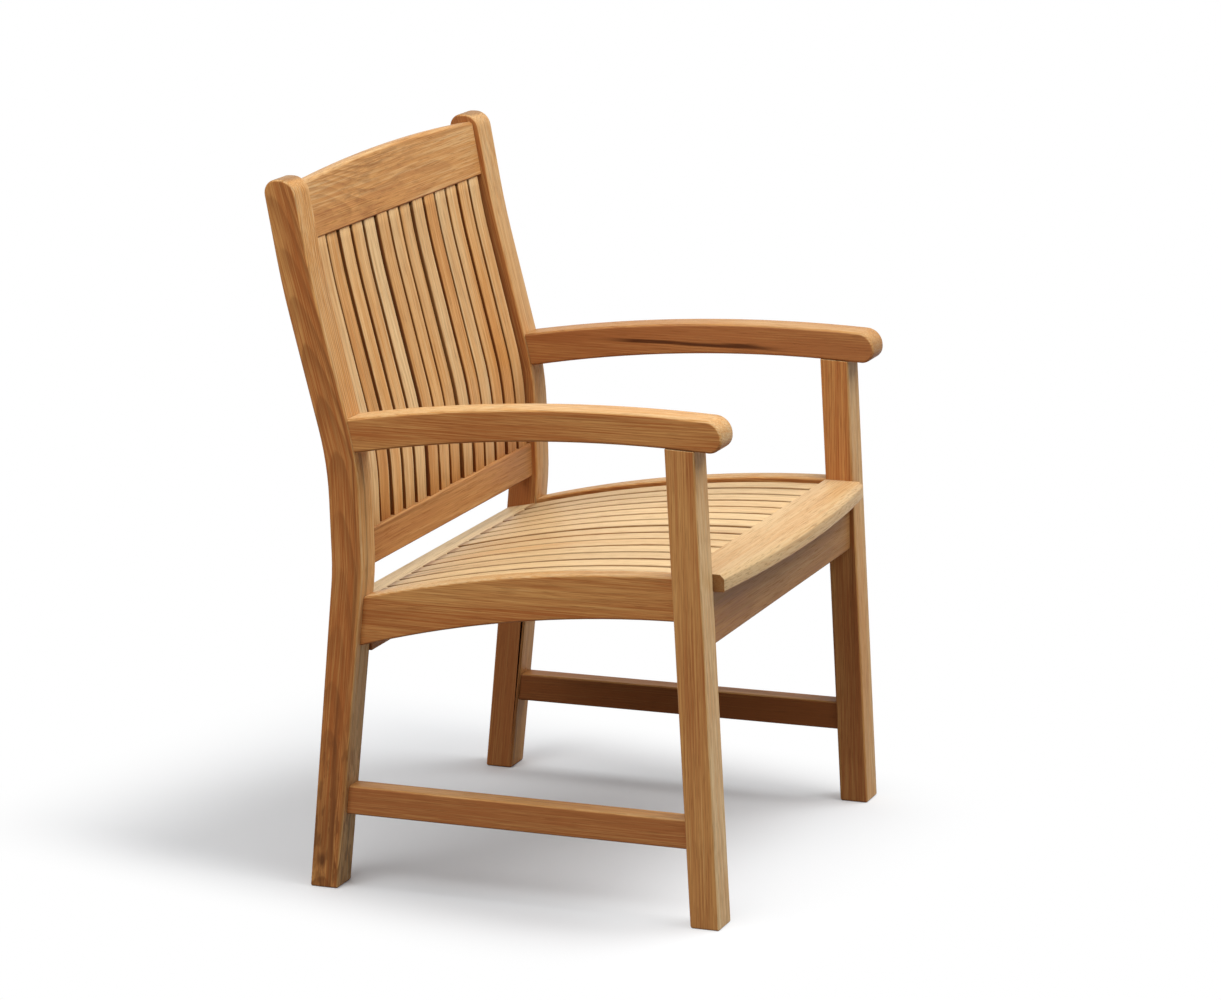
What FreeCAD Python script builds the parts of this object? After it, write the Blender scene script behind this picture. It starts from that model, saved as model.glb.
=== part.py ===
import FreeCAD, Part
import math
import os

# Slatted teak garden armchair, in millimetres.
# +X is the sitter's left, -Y the front, +Z up. The origin is on the floor, under the middle of
# the chair's outer box. Paired pieces are modelled on the left side and mirrored to the right.

# Whole chair
overall_width = 600.0
overall_depth = 617.0
overall_height = 941.0
seat_height = 457.0
seat_drop = 58.0
arm_rise = 209.0
back_angle = 13.1
crest_straightening = 4.1

# Width across the legs, posts and armrests, which lie flush with each other
upright_width = 42.0

# Rear posts: a foot kicked to the rear, an upright waist, a leaning back, and a top that leans
# less by the crest straightening
post_depth = 44.0
post_foot_depth = 40.0
post_foot_kick = 57.0
post_bend_rise = 35.0
post_waist_share = 0.288
low_bend_radius = 380.0
high_bend_radius = 450.0
crest_bend_radius = 1000.0
crest_bend_drop = 50.0
post_top_front_share = 0.5
post_top_rear_share = 0.4

# Front legs
front_leg_depth = 40.0
front_leg_lean = 1.7
front_foot_setback = 18.5

# Armrests
arm_thickness = 41.0
arm_rear_thickness = 46.0
arm_rear_drop = 30.5
arm_crest_setback = 140.0
arm_edge_chamfer = 2.5
arm_nose_top_share = 0.54
arm_nose_bottom_share = 0.42

# Side rails and side stretchers
side_rail_thickness = 28.0
side_rail_inset = 10.0
side_rail_front_height = 57.5
side_rail_rear_height = 64.0
stretcher_thickness = 28.0
stretcher_height = 39.0
stretcher_base_height = 101.5

# Seat boards and aprons
front_board_thickness = 23.0
front_board_width = 74.0
front_board_bow = 17.0
front_board_nose_chamfer = 5.5
front_apron_height = 73.0
front_apron_thickness = 22.0
front_apron_setback = 7.0
rear_board_thickness = 24.0
rear_board_slope = 11.3
rear_apron_thickness = 22.0
rear_apron_height = 52.0

# Seat slats and the bearer under them
seat_slat_width = 31.0
seat_slat_gap = 5.5
seat_slat_thickness = 13.0
seat_slat_sink = 5.0
bearer_width = 42.0
bearer_height = 30.0
bearer_place_share = 0.53

# Back rails and back slats
rail_setback = 8.0
lower_rail_rise = 38.0
lower_rail_height = 48.5
lower_rail_thickness = 22.0
crest_rail_height = 84.0
crest_rail_crown = 9.0
crest_rail_thickness = 22.0
crest_edge_chamfer = 3.5
back_slat_width = 31.0
back_slat_gap = 5.2
back_slat_thickness = 12.0
back_slat_setback = 11.0

# Joints and softened edges
tenon_length = 14.0
cross_tenon_length = 10.0
arm_tenon_length = 20.0
slat_tenon_length = 11.0
tenon_thickness_share = 0.42
tenon_height_share = 0.66
slat_tenon_width_share = 0.74
slat_tenon_thickness_share = 0.6
joint_clearance = 0.2
edge_chamfer = 2.0
slat_edge_chamfer = 1.8
overrun = 6.0
tiny = 0.001

# Places worked out from the sizes
half_width = overall_width / 2
front_y = -overall_depth / 2
rear_y = overall_depth / 2
inner_x = half_width - upright_width
rail_outer_x = half_width - side_rail_inset
rail_inner_x = rail_outer_x - side_rail_thickness
rail_middle_x = (rail_inner_x + rail_outer_x) / 2
stretcher_inner_x = rail_outer_x - stretcher_thickness
upright_middle_x = (inner_x + half_width) / 2

crest_angle = back_angle - crest_straightening
lean = math.radians(back_angle)
crest_lean = math.radians(crest_angle)
seat_rear_height = seat_height - seat_drop
low_bend_height = seat_rear_height + post_bend_rise
high_bend_height = low_bend_height + (overall_height - low_bend_height) * post_waist_share
crest_top_rise = crest_bend_drop + crest_rail_height
crest_bend_height = (
    overall_height - crest_top_rise * math.cos(crest_lean) + rail_setback * math.sin(crest_lean)
)

# From the rearmost point, on the round rear corner of the post's top, forward to the waist
top_front_radius = post_depth * post_top_front_share
top_rear_radius = post_depth * post_top_rear_share
top_corner_share = math.tan(crest_lean) + 1 / math.cos(crest_lean) - 1
top_rear_y = rear_y + top_rear_radius * top_corner_share
top_front_y = top_rear_y - post_depth / math.cos(crest_lean)
crest_bend_y = top_front_y - math.tan(crest_lean) * (overall_height - crest_bend_height)
waist_front_y = crest_bend_y - math.tan(lean) * (crest_bend_height - high_bend_height)
waist_rear_y = waist_front_y + post_depth

leg_slope = math.tan(math.radians(front_leg_lean))
foot_front_y = front_y + front_foot_setback


def leg_front_y(height):
    """The front leg's front face at a height."""
    return foot_front_y + leg_slope * height


def leg_rear_y(height):
    """The front leg's rear face at a height."""
    return leg_front_y(height) + front_leg_depth


def post_front_y(height):
    """The rear post's front face at a height."""
    if height < low_bend_height:
        return waist_front_y + post_foot_kick * (low_bend_height - height) / low_bend_height
    if height < high_bend_height:
        return waist_front_y
    if height < crest_bend_height:
        return waist_front_y + math.tan(lean) * (height - high_bend_height)
    return crest_bend_y + math.tan(crest_lean) * (height - crest_bend_height)


def post_rear_y(height):
    """The rear post's rear face at a height under its lower bend."""
    foot_travel = post_foot_kick + post_foot_depth - post_depth
    return waist_rear_y + foot_travel * (low_bend_height - height) / low_bend_height


def upper_bends(setback):
    """The (y, z, radius) of the back's two bends, this far behind the post's front face."""
    half_lean = (lean + crest_lean) / 2
    stretch = setback / math.cos((lean - crest_lean) / 2)
    high_bend = (
        waist_front_y + setback,
        high_bend_height - setback * math.tan(lean / 2),
        high_bend_radius - setback,
    )
    crest_bend = (
        crest_bend_y + stretch * math.cos(half_lean),
        crest_bend_height - stretch * math.sin(half_lean),
        crest_bend_radius + setback,
    )
    return [high_bend, crest_bend]


def crest_point(setback, rise):
    """The (y, z) of a point this far behind the post's front face and up from its crest bend."""
    y = crest_bend_y + setback * math.cos(crest_lean) + rise * math.sin(crest_lean)
    z = crest_bend_height + rise * math.cos(crest_lean) - setback * math.sin(crest_lean)
    return y, z


def leaned(shape):
    """Lay a shape, drawn against an upright front face, back with the post's top."""
    pivot = FreeCAD.Vector(0, crest_bend_y, crest_bend_height)
    turned = shape.copy()
    turned.rotate(pivot, FreeCAD.Vector(1, 0, 0), -crest_angle)
    return turned


# Shape helpers
def block(low, high):
    """A box between two opposite corners."""
    size = [top - bottom for bottom, top in zip(low, high)]
    return Part.makeBox(size[0], size[1], size[2], FreeCAD.Vector(*low))


def grown_block(low, high):
    """The same box with the joint clearance all round."""
    return block([v - joint_clearance for v in low], [v + joint_clearance for v in high])


def side_prism(wire, x_low, x_high):
    """Extrude a closed wire, drawn in the plane x = 0, from one x to another."""
    face = Part.Face(wire)
    face.translate(FreeCAD.Vector(x_low, 0, 0))
    return face.extrude(FreeCAD.Vector(x_high - x_low, 0, 0))


def rounded_wire(corners):
    """A closed outline of straight lines through (y, z, radius) corners, each with its arc."""
    points = [FreeCAD.Vector(0, y, z) for y, z, radius in corners]
    arcs = []
    for index, (y, z, radius) in enumerate(corners):
        corner = points[index]
        back = (points[index - 1] - corner).normalize()
        ahead = (points[(index + 1) % len(points)] - corner).normalize()
        half_angle = back.getAngle(ahead) / 2
        reach = radius / math.tan(half_angle)
        inward = (back + ahead).normalize()
        middle = corner + inward * (radius / math.sin(half_angle) - radius)
        arcs.append((corner + back * reach, middle, corner + ahead * reach, radius))
    edges = []
    for index, (start, middle, end, radius) in enumerate(arcs):
        following = arcs[(index + 1) % len(arcs)][0]
        if radius > 0:
            edges.append(Part.Arc(start, middle, end).toShape())
        if end.distanceToPoint(following) > tiny:
            edges.append(Part.makeLine(end, following))
    return Part.Wire(Part.__sortEdges__(edges))


def arch_height(arch, y):
    """The z of an arch at y: a circle, level at its crest, that passes through its end."""
    crest_y, crest_z, end_y, end_z = arch
    run = end_y - crest_y
    drop = crest_z - end_z
    radius = (run * run + drop * drop) / (2 * drop)
    return crest_z - radius + math.sqrt(radius * radius - (y - crest_y) ** 2)


def lowered(arch, drop):
    """The same arch moved straight down."""
    crest_y, crest_z, end_y, end_z = arch
    return crest_y, crest_z - drop, end_y, end_z - drop


def arch_edge(arch, y_start, y_end):
    """The part of an arch between two values of y."""
    places = (y_start, (y_start + y_end) / 2, y_end)
    points = [FreeCAD.Vector(0, y, arch_height(arch, y)) for y in places]
    return Part.Arc(*points).toShape()


def arched_prism(top, bottom, y_low, y_high, x_low, x_high):
    """A band between two arches, cut off upright at both ends."""
    upper = arch_edge(top, y_low, y_high)
    lower = arch_edge(bottom, y_high, y_low)
    front_end = Part.makeLine(
        FreeCAD.Vector(0, y_low, arch_height(bottom, y_low)),
        FreeCAD.Vector(0, y_low, arch_height(top, y_low)),
    )
    rear_end = Part.makeLine(
        FreeCAD.Vector(0, y_high, arch_height(top, y_high)),
        FreeCAD.Vector(0, y_high, arch_height(bottom, y_high)),
    )
    return side_prism(Part.Wire([front_end, upper, rear_end, lower]), x_low, x_high)


def outline_edges(shape):
    """The edges that lie in a plane of steady x: the outline of a side prism."""
    return [edge for edge in shape.Edges if edge.BoundBox.XLength < tiny]


def cross_edges(shape):
    """The long edges that run across the chair."""
    return [edge for edge in shape.Edges if edge.BoundBox.XLength > upright_width / 2]


def mirrored(shape):
    """The right-hand twin of a left-hand shape."""
    return shape.mirror(FreeCAD.Vector(0, 0, 0), FreeCAD.Vector(1, 0, 0))


def centred_span(low, high, share):
    """The middle share of a span."""
    middle = (low + high) / 2
    reach = (high - low) * share / 2
    return middle - reach, middle + reach


# Pieces by name. The mortises and tenons are added to them joint by joint.
left = {}
middle = {}


def add_side_joint(member, receiver, low, high):
    """A tenon on one left-hand piece, with its mortise in another."""
    left[member] = left[member].fuse(block(low, high)).removeSplitter()
    left[receiver] = left[receiver].cut(grown_block(low, high))


def add_cross_joint(member, receiver, low, high, place=lambda shape: shape):
    """A tenon on each end of a middle piece, with a mortise in the left-hand piece."""
    tenon = place(block(low, high))
    both_ends = middle[member].fuse([tenon, mirrored(tenon)])
    middle[member] = both_ends.removeSplitter()
    left[receiver] = left[receiver].cut(place(grown_block(low, high)))


def cross_tenon_x(inner=inner_x, length=cross_tenon_length):
    """The x span of a cross member's tenon, from inside the member into the upright."""
    return inner - overrun, inner + length


# Rear post: kicked foot, waist, leaning back and a round-cornered top
def post_outline():
    foot_y = waist_front_y + post_foot_kick
    return rounded_wire([
        (foot_y, 0, 0),
        (waist_front_y, low_bend_height, low_bend_radius),
        *upper_bends(0),
        (top_front_y, overall_height, top_front_radius),
        (top_rear_y, overall_height, top_rear_radius),
        *reversed(upper_bends(post_depth)),
        (waist_rear_y, low_bend_height, low_bend_radius - post_depth),
        (foot_y + post_foot_depth, 0, 0),
    ])


def eased_upright(square):
    """Take the sharpness off an upright's long edges and the edges of its foot."""
    foot_edges = [edge for edge in cross_edges(square) if edge.BoundBox.ZMax < tiny]
    return square.makeChamfer(edge_chamfer, outline_edges(square) + foot_edges)


square_post = side_prism(post_outline(), inner_x, half_width)
left["rear_leg"] = eased_upright(square_post)

# Armrest: two arches that spread towards the post, and a round front end
arm_crest_z = seat_height + arm_rise
arm_crest_y = front_y + arm_crest_setback
arm_rear_z = arm_crest_z - arm_rear_drop
arm_rear_y = post_front_y(arm_rear_z)
arm_top = (arm_crest_y, arm_crest_z, arm_rear_y, arm_rear_z)
arm_bottom = (
    arm_crest_y, arm_crest_z - arm_thickness, arm_rear_y, arm_rear_z - arm_rear_thickness,
)


def arm_shape():
    blank = arched_prism(
        arm_top, arm_bottom, front_y, arm_rear_y + post_depth / 2, inner_x, half_width,
    )
    nose_edges = [edge for edge in cross_edges(blank) if edge.BoundBox.YMax < front_y + tiny]
    nose_edges.sort(key=lambda edge: edge.BoundBox.ZMax)
    nose_height = arch_height(arm_top, front_y) - arch_height(arm_bottom, front_y)
    blank = blank.makeFillet(nose_height * arm_nose_bottom_share, nose_edges[:1])
    nose_edges = [edge for edge in cross_edges(blank) if edge.BoundBox.YMax < front_y + tiny]
    nose_edges.sort(key=lambda edge: edge.BoundBox.ZMax)
    blank = blank.makeFillet(nose_height * arm_nose_top_share, nose_edges[-1:])
    rear_limit = arm_rear_y + post_depth / 2 - tiny
    long_edges = [edge for edge in outline_edges(blank) if edge.BoundBox.YMin < rear_limit]
    return blank, blank.makeChamfer(arm_edge_chamfer, long_edges)


square_arm, eased_arm = arm_shape()
left["armrest"] = eased_arm.cut(square_post)


# Front leg: straight, leaning to the rear, up to the armrest's lower arch
def leg_outline():
    top = arm_crest_z - arm_thickness / 2
    return rounded_wire([
        (leg_front_y(0), 0, 0),
        (leg_front_y(top), top, 0),
        (leg_rear_y(top), top, 0),
        (leg_rear_y(0), 0, 0),
    ])


square_leg = side_prism(leg_outline(), inner_x, half_width)
left["front_leg"] = eased_upright(square_leg).cut(square_arm)

# Side rail: arched on both edges, between the front leg and the rear post
seat_crest_y = (leg_front_y(seat_height) + leg_rear_y(seat_height)) / 2
seat_rear_y = post_front_y(seat_rear_height)
seat_arch = (seat_crest_y, seat_height, seat_rear_y, seat_rear_height)
rail_bottom_arch = (
    seat_crest_y,
    seat_height - side_rail_front_height,
    seat_rear_y,
    seat_rear_height - side_rail_rear_height,
)
rail_blank = arched_prism(
    seat_arch,
    rail_bottom_arch,
    seat_crest_y,
    seat_rear_y + post_depth / 2,
    rail_inner_x,
    rail_outer_x,
)
rail_edges = [edge for edge in outline_edges(rail_blank) if edge.Length > side_rail_rear_height * 2]
left["side_rail"] = rail_blank.makeChamfer(edge_chamfer, rail_edges).cut([square_leg, square_post])

# Side stretcher: straight and level
stretcher_top = stretcher_base_height + stretcher_height
stretcher_blank = block(
    (stretcher_inner_x, seat_crest_y, stretcher_base_height),
    (rail_outer_x, post_front_y(stretcher_top) + post_depth / 2, stretcher_top),
)
stretcher_edges = [edge for edge in outline_edges(stretcher_blank) if edge.BoundBox.ZLength < tiny]
stretcher_eased = stretcher_blank.makeChamfer(edge_chamfer, stretcher_edges)
left["side_stretcher"] = stretcher_eased.cut([square_leg, square_post])


# Seat front board: straight rear edge, bowed front edge with a rounded nose
front_board_rear_y = front_y + front_board_width
front_board_bottom = seat_height - front_board_thickness


def front_board_shape():
    corner_y = front_y + front_board_bow
    nose_arc = Part.Arc(
        FreeCAD.Vector(-inner_x, corner_y, front_board_bottom),
        FreeCAD.Vector(0, front_y, front_board_bottom),
        FreeCAD.Vector(inner_x, corner_y, front_board_bottom),
    ).toShape()
    left_end = Part.makeLine(
        FreeCAD.Vector(inner_x, corner_y, front_board_bottom),
        FreeCAD.Vector(inner_x, front_board_rear_y, front_board_bottom),
    )
    rear_edge = Part.makeLine(
        FreeCAD.Vector(inner_x, front_board_rear_y, front_board_bottom),
        FreeCAD.Vector(-inner_x, front_board_rear_y, front_board_bottom),
    )
    right_end = Part.makeLine(
        FreeCAD.Vector(-inner_x, front_board_rear_y, front_board_bottom),
        FreeCAD.Vector(-inner_x, corner_y, front_board_bottom),
    )
    face = Part.Face(Part.Wire([nose_arc, left_end, rear_edge, right_end]))
    board = face.extrude(FreeCAD.Vector(0, 0, front_board_thickness))
    upper_edges = [edge for edge in cross_edges(board) if edge.BoundBox.ZMin > seat_height - tiny]
    upper_nose = [edge for edge in upper_edges if edge.BoundBox.YMin < front_y + tiny]
    board = board.makeChamfer(front_board_nose_chamfer, upper_nose)
    upper_rear = [
        edge for edge in cross_edges(board)
        if edge.BoundBox.YMin > front_board_rear_y - tiny and edge.BoundBox.ZMin > seat_height - tiny
    ]
    lower_nose = [
        edge for edge in cross_edges(board)
        if edge.BoundBox.YMin < front_y + tiny and edge.BoundBox.ZMax < front_board_bottom + tiny
    ]
    return board.makeChamfer(edge_chamfer, upper_rear + lower_nose)


middle["seat_front_board"] = front_board_shape()

# Front apron: under the board, set back from the legs' front faces
apron_top = front_board_bottom
apron_bottom = apron_top - front_apron_height
apron_front_y = leg_front_y((apron_top + apron_bottom) / 2) + front_apron_setback
apron_rear_y = apron_front_y + front_apron_thickness
apron_blank = block((-inner_x, apron_front_y, apron_bottom), (inner_x, apron_rear_y, apron_top))
apron_edges = [edge for edge in cross_edges(apron_blank) if edge.BoundBox.ZMax < apron_bottom + tiny]
middle["front_apron"] = apron_blank.makeChamfer(edge_chamfer, apron_edges)

# Seat rear board: slopes down to the rear, flush with the post's front and rear faces
slat_top = lowered(seat_arch, seat_slat_sink)
slat_bottom = lowered(slat_top, seat_slat_thickness)
slope = math.radians(rear_board_slope)
board_front_y = seat_rear_y
board_front_z = arch_height(slat_top, board_front_y)
board_width = (post_rear_y(board_front_z) - board_front_y) / math.cos(slope)


def sloped(shape):
    """Turn a shape, drawn level, down to the rear about the rear board's front top edge."""
    turned = shape.copy()
    pivot = FreeCAD.Vector(0, board_front_y, board_front_z)
    turned.rotate(pivot, FreeCAD.Vector(1, 0, 0), -rear_board_slope)
    return turned


level_board = block(
    (-inner_x, board_front_y, board_front_z - rear_board_thickness),
    (inner_x, board_front_y + board_width, board_front_z),
)
square_board = sloped(level_board)
board_edges = [edge for edge in cross_edges(level_board) if edge.BoundBox.ZMin > board_front_z - tiny]
middle["seat_rear_board"] = sloped(level_board.makeChamfer(edge_chamfer, board_edges))

# Rear apron: under the rear board, its top cut to the board's slope
rear_apron_top = board_front_z - rear_board_thickness
rear_apron_bottom = rear_apron_top - rear_apron_height
rear_apron_y = post_front_y((rear_apron_top + rear_apron_bottom) / 2)
rear_apron_blank = block(
    (-inner_x, rear_apron_y, rear_apron_bottom),
    (inner_x, rear_apron_y + rear_apron_thickness, board_front_z - rear_board_thickness / 2),
)
middle["rear_apron"] = rear_apron_blank.cut(square_board)

# Lower back rail: upright, between the posts
lower_rail_bottom = board_front_z + lower_rail_rise
lower_rail_top = lower_rail_bottom + lower_rail_height
lower_rail_y = waist_front_y + rail_setback
lower_rail_blank = block(
    (-inner_x, lower_rail_y, lower_rail_bottom),
    (inner_x, lower_rail_y + lower_rail_thickness, lower_rail_top),
)
middle["lower_back_rail"] = lower_rail_blank.makeChamfer(edge_chamfer, cross_edges(lower_rail_blank))

# Crest rail: drawn upright with a crowned top, then leaned back with the posts' tops
crest_y = crest_bend_y + rail_setback
crest_bottom_z = crest_bend_height + crest_bend_drop
crest_top_z = crest_bend_height + crest_top_rise
crest_end_z = crest_top_z - crest_rail_crown


def crest_rail_shape():
    left_bottom = FreeCAD.Vector(inner_x, crest_y, crest_bottom_z)
    left_top = FreeCAD.Vector(inner_x, crest_y, crest_end_z)
    right_bottom = FreeCAD.Vector(-inner_x, crest_y, crest_bottom_z)
    right_top = FreeCAD.Vector(-inner_x, crest_y, crest_end_z)
    crown = Part.Arc(left_top, FreeCAD.Vector(0, crest_y, crest_top_z), right_top).toShape()
    right_end = Part.makeLine(right_top, right_bottom)
    base = Part.makeLine(right_bottom, left_bottom)
    left_end = Part.makeLine(left_bottom, left_top)
    face = Part.Face(Part.Wire([crown, right_end, base, left_end]))
    rail = face.extrude(FreeCAD.Vector(0, crest_rail_thickness, 0))
    crown_edges = [edge for edge in cross_edges(rail) if edge.BoundBox.ZMin > crest_bottom_z + tiny]
    rail = rail.makeChamfer(crest_edge_chamfer, crown_edges)
    base_edges = [edge for edge in cross_edges(rail) if edge.BoundBox.ZMax < crest_bottom_z + tiny]
    return leaned(rail.makeChamfer(edge_chamfer, base_edges))


middle["crest_rail"] = crest_rail_shape()


# Seat slats: arched bands with a thinner tongue at each end
def slat_places(width, gap):
    """The x of each slat's middle, as many as fit between the uprights."""
    pitch = width + gap
    count = int((2 * inner_x + gap) / pitch)
    first = -(count - 1) * pitch / 2
    return [first + index * pitch for index in range(count)]


def seat_slat_body(x):
    half = seat_slat_width / 2
    band = arched_prism(
        slat_top, slat_bottom, front_board_rear_y, board_front_y + overrun, x - half, x + half,
    )
    long_edges = [edge for edge in outline_edges(band) if edge.Length > seat_slat_thickness * 2]
    long_edges.sort(key=lambda edge: edge.CenterOfMass.z)
    return band.makeChamfer(slat_edge_chamfer, long_edges[2:]).cut(square_board)


def seat_slat_tongue(x, clearance):
    """The thinner core that runs on into both boards, or with a clearance, its mortises."""
    half = seat_slat_width * slat_tenon_width_share / 2 + clearance
    shoulder = seat_slat_thickness * (1 - slat_tenon_thickness_share) / 2
    top = lowered(slat_top, shoulder - clearance)
    bottom = lowered(slat_bottom, clearance - shoulder)
    y_low = front_board_rear_y - slat_tenon_length - clearance
    y_high = board_front_y + slat_tenon_length + clearance
    return arched_prism(top, bottom, y_low, y_high, x - half, x + half)


seat_slats = {}
seat_mortises = []
for number, x in enumerate(slat_places(seat_slat_width, seat_slat_gap), start=1):
    slat = seat_slat_body(x).fuse(seat_slat_tongue(x, 0)).removeSplitter()
    seat_slats[f"seat_slat_{number:02d}"] = slat
    seat_mortises.append(seat_slat_tongue(x, joint_clearance))
middle["seat_front_board"] = middle["seat_front_board"].cut(seat_mortises)
middle["seat_rear_board"] = middle["seat_rear_board"].cut(seat_mortises)


# Back slats: bands that bend with the posts, with a tongue at each end
def bent_band(setback, thickness, end_reach, x_low, x_high):
    """A band behind the post's front face, from the lower rail to the crest rail."""
    rear = setback + thickness
    start_z = lower_rail_top - end_reach
    end_rise = crest_bend_drop + end_reach
    front_end_y, front_end_z = crest_point(setback, end_rise)
    rear_end_y, rear_end_z = crest_point(rear, end_rise)
    wire = rounded_wire([
        (waist_front_y + setback, start_z, 0),
        *upper_bends(setback),
        (front_end_y, front_end_z, 0),
        (rear_end_y, rear_end_z, 0),
        *reversed(upper_bends(rear)),
        (waist_front_y + rear, start_z, 0),
    ])
    return side_prism(wire, x_low, x_high)


def back_slat_body(x):
    half = back_slat_width / 2
    band = bent_band(back_slat_setback, back_slat_thickness, 0, x - half, x + half)
    long_edges = [edge for edge in outline_edges(band) if edge.Length > back_slat_thickness * 2]
    return band.makeChamfer(slat_edge_chamfer, long_edges)


def back_slat_tongue(x, clearance):
    """The thinner core that runs on into both rails, or with a clearance, its mortises."""
    half = back_slat_width * slat_tenon_width_share / 2 + clearance
    shoulder = back_slat_thickness * (1 - slat_tenon_thickness_share) / 2
    setback = back_slat_setback + shoulder - clearance
    thickness = back_slat_thickness * slat_tenon_thickness_share + 2 * clearance
    return bent_band(setback, thickness, slat_tenon_length + clearance, x - half, x + half)


back_slats = {}
back_mortises = []
for number, x in enumerate(slat_places(back_slat_width, back_slat_gap), start=1):
    slat = back_slat_body(x).fuse(back_slat_tongue(x, 0)).removeSplitter()
    back_slats[f"back_slat_{number:02d}"] = slat
    back_mortises.append(back_slat_tongue(x, joint_clearance))
middle["lower_back_rail"] = middle["lower_back_rail"].cut(back_mortises)
middle["crest_rail"] = middle["crest_rail"].cut(back_mortises)

# Seat bearer: a hidden cross rail that follows the slats' undersides
bearer_middle_y = front_board_rear_y + (board_front_y - front_board_rear_y) * bearer_place_share
bearer_front_y = bearer_middle_y - bearer_width / 2
bearer_rear_y = bearer_middle_y + bearer_width / 2
middle["seat_bearer"] = arched_prism(
    slat_bottom,
    lowered(slat_bottom, bearer_height),
    bearer_front_y,
    bearer_rear_y,
    -rail_inner_x,
    rail_inner_x,
)


# Joints of the left-hand pieces
def add_lengthwise_joints(member, x_middle, thickness, front_span, rear_span):
    """Tenons of a rail or stretcher into the front leg and into the rear post."""
    reach = thickness * tenon_thickness_share / 2
    front_low, front_high = centred_span(*front_span, tenon_height_share)
    front_face = leg_rear_y((front_low + front_high) / 2)
    add_side_joint(
        member, "front_leg",
        (x_middle - reach, front_face - tenon_length, front_low),
        (x_middle + reach, front_face + overrun, front_high),
    )
    rear_low, rear_high = centred_span(*rear_span, tenon_height_share)
    rear_face = post_front_y((rear_low + rear_high) / 2)
    add_side_joint(
        member, "rear_leg",
        (x_middle - reach, rear_face - overrun, rear_low),
        (x_middle + reach, rear_face + tenon_length, rear_high),
    )


add_lengthwise_joints(
    "side_rail",
    rail_middle_x,
    side_rail_thickness,
    (seat_height - side_rail_front_height, seat_height),
    (seat_rear_height - side_rail_rear_height, seat_rear_height),
)
add_lengthwise_joints(
    "side_stretcher",
    (stretcher_inner_x + rail_outer_x) / 2,
    stretcher_thickness,
    (stretcher_base_height, stretcher_top),
    (stretcher_base_height, stretcher_top),
)

upright_reach = upright_width * tenon_thickness_share / 2
arm_tenon_low, arm_tenon_high = centred_span(
    arm_rear_z - arm_rear_thickness, arm_rear_z, tenon_height_share,
)
arm_face_y = post_front_y((arm_tenon_low + arm_tenon_high) / 2)
add_side_joint(
    "armrest", "rear_leg",
    (upright_middle_x - upright_reach, arm_face_y - overrun, arm_tenon_low),
    (upright_middle_x + upright_reach, arm_face_y + tenon_length, arm_tenon_high),
)

leg_top_z = arch_height(arm_bottom, leg_front_y(arm_crest_z))
leg_tenon_front, leg_tenon_rear = centred_span(
    leg_front_y(leg_top_z), leg_rear_y(leg_top_z), tenon_height_share,
)
add_side_joint(
    "front_leg", "armrest",
    (upright_middle_x - upright_reach, leg_tenon_front, leg_top_z - overrun),
    (upright_middle_x + upright_reach, leg_tenon_rear, leg_top_z + arm_tenon_length),
)


# Joints of the middle pieces
def add_upright_rail_joint(member, receiver, y_span, z_span, place=lambda shape: shape):
    """Tenons on both ends of a board or rail that stands on edge or lies flat."""
    x_low, x_high = cross_tenon_x()
    y_low, y_high = y_span
    z_low, z_high = z_span
    add_cross_joint(member, receiver, (x_low, y_low, z_low), (x_high, y_high, z_high), place)


add_upright_rail_joint(
    "seat_front_board",
    "front_leg",
    centred_span(leg_front_y(seat_height), leg_rear_y(seat_height), tenon_height_share),
    centred_span(front_board_bottom, seat_height, tenon_thickness_share),
)
add_upright_rail_joint(
    "front_apron",
    "front_leg",
    centred_span(apron_front_y, apron_rear_y, tenon_thickness_share),
    centred_span(apron_bottom, apron_top, tenon_height_share),
)
add_upright_rail_joint(
    "seat_rear_board",
    "rear_leg",
    centred_span(board_front_y, board_front_y + board_width, tenon_height_share),
    centred_span(board_front_z - rear_board_thickness, board_front_z, tenon_thickness_share),
    sloped,
)
add_upright_rail_joint(
    "rear_apron",
    "rear_leg",
    centred_span(rear_apron_y, rear_apron_y + rear_apron_thickness, tenon_thickness_share),
    centred_span(rear_apron_bottom, rear_apron_top, tenon_height_share),
)
add_upright_rail_joint(
    "lower_back_rail",
    "rear_leg",
    centred_span(lower_rail_y, lower_rail_y + lower_rail_thickness, tenon_thickness_share),
    centred_span(lower_rail_bottom, lower_rail_top, tenon_height_share),
)
add_upright_rail_joint(
    "crest_rail",
    "rear_leg",
    centred_span(crest_y, crest_y + crest_rail_thickness, tenon_thickness_share),
    centred_span(crest_bottom_z, crest_end_z, tenon_height_share),
    leaned,
)

bearer_middle_z = arch_height(slat_bottom, bearer_middle_y) - bearer_height / 2
bearer_tenon_z = centred_span(
    bearer_middle_z - bearer_height / 2, bearer_middle_z + bearer_height / 2, tenon_thickness_share,
)
bearer_tenon_y = centred_span(bearer_front_y, bearer_rear_y, tenon_height_share)
bearer_tenon_x = cross_tenon_x(rail_inner_x)
add_cross_joint(
    "seat_bearer", "side_rail",
    (bearer_tenon_x[0], bearer_tenon_y[0], bearer_tenon_z[0]),
    (bearer_tenon_x[1], bearer_tenon_y[1], bearer_tenon_z[1]),
)

# One file per piece
pieces = {}
for name, shape in left.items():
    pieces[name + "_left"] = shape
    pieces[name + "_right"] = mirrored(shape)
pieces.update(middle)
pieces.update(seat_slats)
pieces.update(back_slats)

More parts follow.
